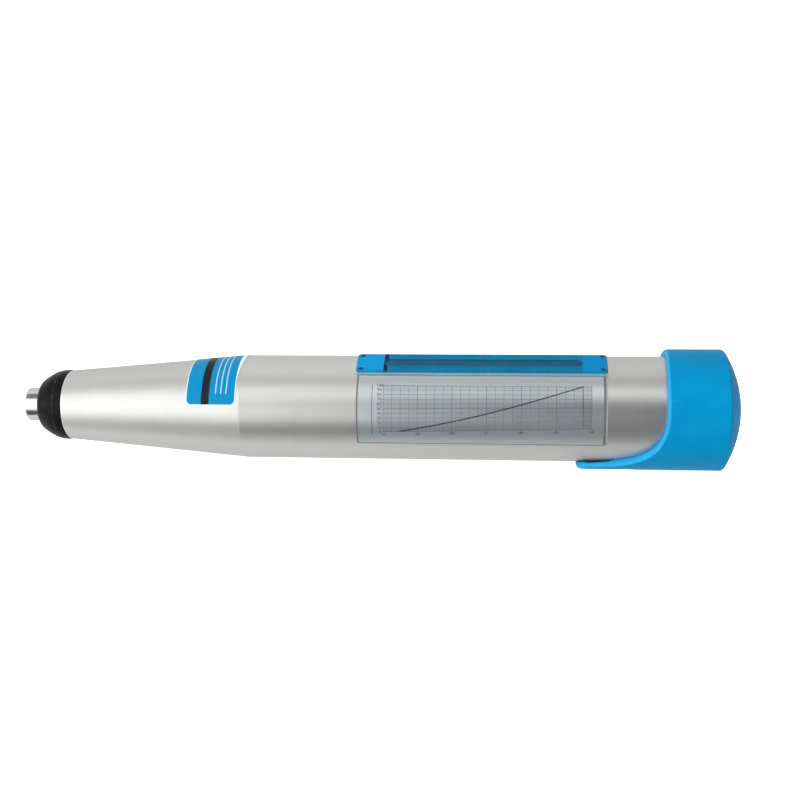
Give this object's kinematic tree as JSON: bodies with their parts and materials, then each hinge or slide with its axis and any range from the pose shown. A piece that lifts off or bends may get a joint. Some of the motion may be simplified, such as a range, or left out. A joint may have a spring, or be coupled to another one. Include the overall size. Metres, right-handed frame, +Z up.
{
  "type": "concrete test hammer",
  "caption": "Rebound hammer for testing concrete: a spring-driven hammer in a round body with a nose plunger, a lock button in a blue end boot, and a rider on a scale.",
  "frame": {"origin": "on the floor, under the middle of the hammer lying flat with its plunger pushed in", "axes": "+X from the plunger's tip to the end boot, +Z up, -Y towards the viewer of the picture"},
  "size_m": [0.3158, 0.052, 0.0515],
  "materials": {
    "body_aluminium": "satin, fine turning marks",
    "cap_black": "black, half gloss",
    "felt": "felt",
    "fittings_steel": "bright",
    "sleeve_steel": "turned",
    "plunger_steel": "ground and polished",
    "spring_steel": "drawn wire",
    "hammer_steel": "turned",
    "disk_steel": "turned, oiled",
    "pawl_steel": "hardened",
    "cover_aluminium": "turned",
    "boot_blue": "satin moulding",
    "button_blue": "satin moulding",
    "plate_blue": "gloss",
    "window_clear": "clear",
    "screw_black": "blackened",
    "rider_black": "matt",
    "tab_brass": "rolled strip",
    "chart_film": "printed silver film",
    "label_film": "printed film"
  },
  "bodies": {
    "housing": {"housing": "body_aluminium", "front_cap": "cap_black", "felt_washer": "felt", "split_ring": "fittings_steel", "guide_sleeve": "sleeve_steel", "impact_spring": "spring_steel", "compression_spring": "spring_steel", "rear_cover": "cover_aluminium", "trip_screw": "fittings_steel", "lock_nut": "fittings_steel", "end_boot": "boot_blue", "button_spring": "spring_steel", "scale_plate": "plate_blue", "scale_window": "window_clear", "scale_screws": "screw_black", "rod_blocks": "cover_aluminium", "pointer_rod": "fittings_steel", "chart_plate": "chart_film", "name_label": "label_film"},
    "carriage": {"guide_bar": "plunger_steel", "guide_disk": "disk_steel", "bar_pin": "fittings_steel", "pawl_pin": "fittings_steel", "pawl_spring": "spring_steel", "buffer_spring": "spring_steel"},
    "plunger": {"plunger": "plunger_steel"},
    "hammer": {"hammer_mass": "hammer_steel"},
    "pawl": {"pawl": "pawl_steel"},
    "rider": {"rider": "rider_black", "rider_tab": "tab_brass"},
    "button": {"push_button": "button_blue", "lock_pin": "fittings_steel"}
  },
  "joints": [
    {"name": "plunger_slide", "type": "slide", "parent": "housing", "child": "carriage", "axis": [-1, 0, 0], "range_m": [0, 0.075], "deforming": ["compression_spring"]},
    {"name": "hammer_slide", "type": "slide", "parent": "carriage", "child": "hammer", "axis": [1, 0, 0], "range_m": [0, 0.075]},
    {"name": "buffer_slide", "type": "slide", "parent": "carriage", "child": "plunger", "axis": [1, 0, 0], "range_m": [0, 0.004], "stiffness_N_per_m": 3000, "deforming": ["buffer_spring"]},
    {"name": "pawl_pivot", "type": "hinge", "parent": "carriage", "child": "pawl", "pos_m": [0.11095, 0.00671, 0.01555], "axis": [0, -0.829, -0.5592], "range_deg": [0, 6], "stiffness_Nm_per_rad": 0.05, "deforming": ["pawl_spring"]},
    {"name": "rider_slide", "type": "slide", "parent": "housing", "child": "rider", "axis": [1, 0, 0], "range_m": [0, 0.075]},
    {"name": "button_press", "type": "slide", "parent": "housing", "child": "button", "axis": [0, 0, 1], "range_m": [0, 0.002], "stiffness_N_per_m": 400, "deforming": ["button_spring"]}
  ],
  "couplings": [
    {"joint": "hammer_slide", "follows": "plunger_slide", "ratio": 1}
  ]
}
